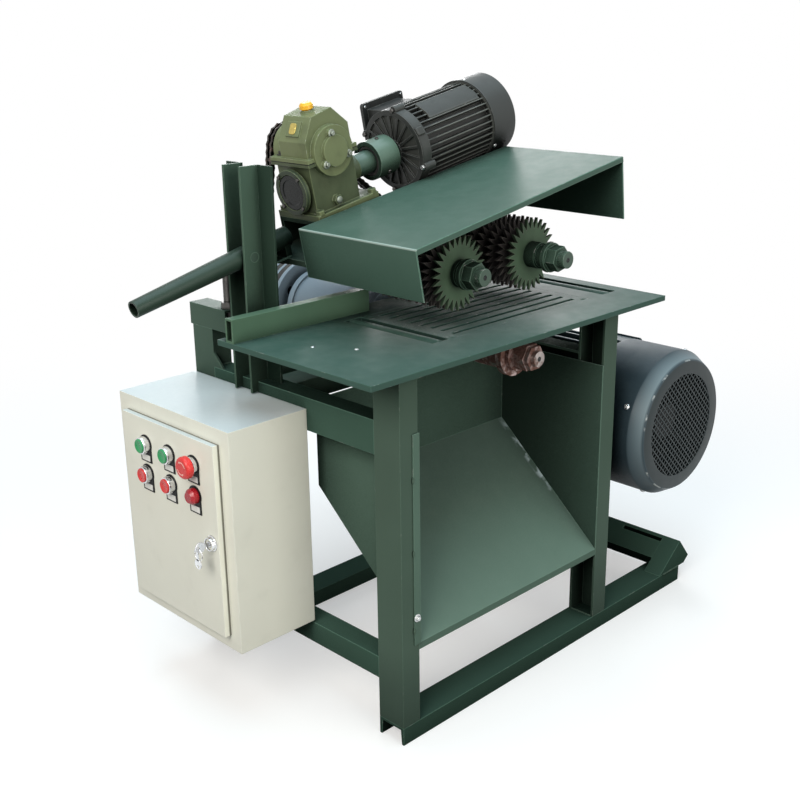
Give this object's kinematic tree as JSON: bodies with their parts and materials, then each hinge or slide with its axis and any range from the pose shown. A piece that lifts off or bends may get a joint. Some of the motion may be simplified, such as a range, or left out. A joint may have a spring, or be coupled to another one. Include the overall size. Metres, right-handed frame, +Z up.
{
  "type": "multi-rip saw",
  "caption": "Floor-standing multi-rip saw: channel-steel frame, slotted table, belt-driven arbor, hinged feed carriage with spiked rollers, chip chute and control cabinet.",
  "frame": {"origin": "on the floor, under the middle of the overall length and width", "axes": "+X along the feed, from the cabinet end to the motor end; +Y along the arbor, away from the chute side; +Z up"},
  "size_m": [1.0952, 0.678, 1.0054],
  "materials": {
    "frame_green": "satin enamel",
    "hood_green": "satin enamel",
    "table_green": "satin enamel",
    "rusted_steel": "surface rust",
    "pulley_grey": "satin enamel",
    "bare_steel": "turned",
    "cast_grey": "as cast, machined faces",
    "housing_paint": "gloss enamel",
    "belt_rubber": "matt",
    "motor_dark": "satin enamel",
    "feed_motor_black": "satin enamel",
    "fan_plastic": "satin",
    "reducer_green": "satin enamel over casting",
    "breather_yellow": "gloss",
    "chain_steel": "oiled",
    "roller_green": "satin enamel, worn on the tips",
    "cabinet_white": "textured powder coat",
    "legend_black": "matt",
    "collar_chrome": "polished",
    "button_green": "gloss",
    "button_red": "gloss",
    "lamp_red": "gloss, translucent",
    "key_steel": "polished"
  },
  "bodies": {
    "frame": {"bottom_rail_near": "frame_green", "bottom_rail_far": "frame_green", "leg_front_near": "frame_green", "leg_front_far": "frame_green", "leg_rear_near": "frame_green", "leg_rear_far": "frame_green", "front_rails": "frame_green", "rear_low_rail": "frame_green", "inner_beams": "frame_green", "outrigger": "frame_green", "column_near": "frame_green", "column_far": "frame_green", "pivot_pin": "frame_green", "stop_bar": "frame_green", "stop_rod": "bare_steel", "table_plate": "table_green", "throat_insert": "table_green", "fence": "frame_green", "hopper": "frame_green", "spindle_housing": "housing_paint", "drive_belts": "belt_rubber", "motor_body": "motor_dark", "motor_fan_cover": "motor_dark", "motor_base": "frame_green", "cabinet_box": "cabinet_white"},
    "motor_drive": {"motor_rotor": "fan_plastic", "motor_pulley": "cast_grey"},
    "arbor": {"arbor_shaft": "bare_steel", "arbor_collars": "rusted_steel", "arbor_nuts": "rusted_steel", "arbor_pulley": "pulley_grey"},
    "infeed_idler": {"infeed_idler": "bare_steel"},
    "outfeed_idler": {"outfeed_idler": "bare_steel"},
    "carriage": {"carriage_plate": "frame_green", "lift_lever": "frame_green", "drive_base": "frame_green", "feed_hood": "hood_green", "reducer_case": "reducer_green", "reducer_breather": "breather_yellow", "feed_motor_body": "feed_motor_black", "feed_fan_cover": "feed_motor_black", "roller_bearings": "cast_grey", "feed_chain": "chain_steel"},
    "coupling": {"feed_coupling": "frame_green"},
    "output": {"drive_sprocket": "chain_steel"},
    "chain_idler": {"chain_idler": "chain_steel"},
    "infeed_roller": {"infeed_roller": "roller_green", "infeed_roller_shaft": "roller_green"},
    "outfeed_roller": {"outfeed_roller": "roller_green", "outfeed_roller_shaft": "roller_green"},
    "door": {"cabinet_door": "cabinet_white", "button_collars": "collar_chrome", "legend_plates": "legend_black", "pilot_lamp": "lamp_red"},
    "door_key": {"door_key": "key_steel"},
    "start_button_a": {"start_button_a": "button_green"},
    "start_button_b": {"start_button_b": "button_green"},
    "stop_button_a": {"stop_button_a": "button_red"},
    "stop_button_b": {"stop_button_b": "button_red"},
    "estop_button": {"estop_button": "button_red"}
  },
  "joints": [
    {"name": "carriage_lift", "type": "hinge", "parent": "frame", "child": "carriage", "pos_m": [-0.33135, 0.067, 0.746], "axis": [0, -1, 0], "range_deg": [0, 12]},
    {"name": "motor_spin", "type": "hinge", "parent": "frame", "child": "motor_drive", "pos_m": [0.37165, -0.003, 0.368], "axis": [0, 1, 0], "continuous": true},
    {"name": "arbor_spin", "type": "hinge", "parent": "frame", "child": "arbor", "pos_m": [-0.02235, 0.016, 0.577], "axis": [0, 1, 0], "continuous": true},
    {"name": "infeed_idler_spin", "type": "hinge", "parent": "frame", "child": "infeed_idler", "pos_m": [-0.19735, -0.153, 0.6155], "axis": [0, 1, 0], "continuous": true},
    {"name": "outfeed_idler_spin", "type": "hinge", "parent": "frame", "child": "outfeed_idler", "pos_m": [0.23965, -0.153, 0.6155], "axis": [0, 1, 0], "continuous": true},
    {"name": "coupling_spin", "type": "hinge", "parent": "carriage", "child": "coupling", "pos_m": [-0.06053, 0.049, 0.86947], "axis": [0.9799, 0, 0.1994], "continuous": true},
    {"name": "output_spin", "type": "hinge", "parent": "carriage", "child": "output", "pos_m": [-0.18361, 0.097, 0.9026], "axis": [0, 1, 0], "continuous": true},
    {"name": "chain_idler_spin", "type": "hinge", "parent": "carriage", "child": "chain_idler", "pos_m": [-0.21002, 0.1155, 0.7365], "axis": [0, 1, 0], "continuous": true},
    {"name": "infeed_roller_spin", "type": "hinge", "parent": "carriage", "child": "infeed_roller", "pos_m": [-0.10415, -0.053, 0.71773], "axis": [0, 1, 0], "continuous": true},
    {"name": "outfeed_roller_spin", "type": "hinge", "parent": "carriage", "child": "outfeed_roller", "pos_m": [0.07577, -0.053, 0.72117], "axis": [0, 1, 0], "continuous": true},
    {"name": "door_swing", "type": "hinge", "parent": "frame", "child": "door", "pos_m": [-0.49685, 0.1865, 0.333], "axis": [0, 0, -1], "range_deg": [0, 110]},
    {"name": "key_turn", "type": "hinge", "parent": "door", "child": "door_key", "pos_m": [-0.50735, -0.051, 0.331], "axis": [-1, 0, 0], "range_deg": [0, 90]},
    {"name": "start_button_a_press", "type": "slide", "parent": "door", "child": "start_button_a", "axis": [1, 0, 0], "range_m": [0, 0.0025], "stiffness_N_per_m": 400},
    {"name": "start_button_b_press", "type": "slide", "parent": "door", "child": "start_button_b", "axis": [1, 0, 0], "range_m": [0, 0.0025], "stiffness_N_per_m": 400},
    {"name": "estop_button_press", "type": "slide", "parent": "door", "child": "estop_button", "axis": [1, 0, 0], "range_m": [0, 0.0025], "stiffness_N_per_m": 400},
    {"name": "stop_button_a_press", "type": "slide", "parent": "door", "child": "stop_button_a", "axis": [1, 0, 0], "range_m": [0, 0.0025], "stiffness_N_per_m": 400},
    {"name": "stop_button_b_press", "type": "slide", "parent": "door", "child": "stop_button_b", "axis": [1, 0, 0], "range_m": [0, 0.0025], "stiffness_N_per_m": 400}
  ],
  "couplings": [
    {"joint": "arbor_spin", "follows": "motor_spin", "ratio": 1.0714},
    {"joint": "output_spin", "follows": "coupling_spin", "ratio": 0.05},
    {"joint": "chain_idler_spin", "follows": "coupling_spin", "ratio": 0.065385},
    {"joint": "infeed_roller_spin", "follows": "coupling_spin", "ratio": 0.065385},
    {"joint": "outfeed_roller_spin", "follows": "coupling_spin", "ratio": 0.065385}
  ]
}
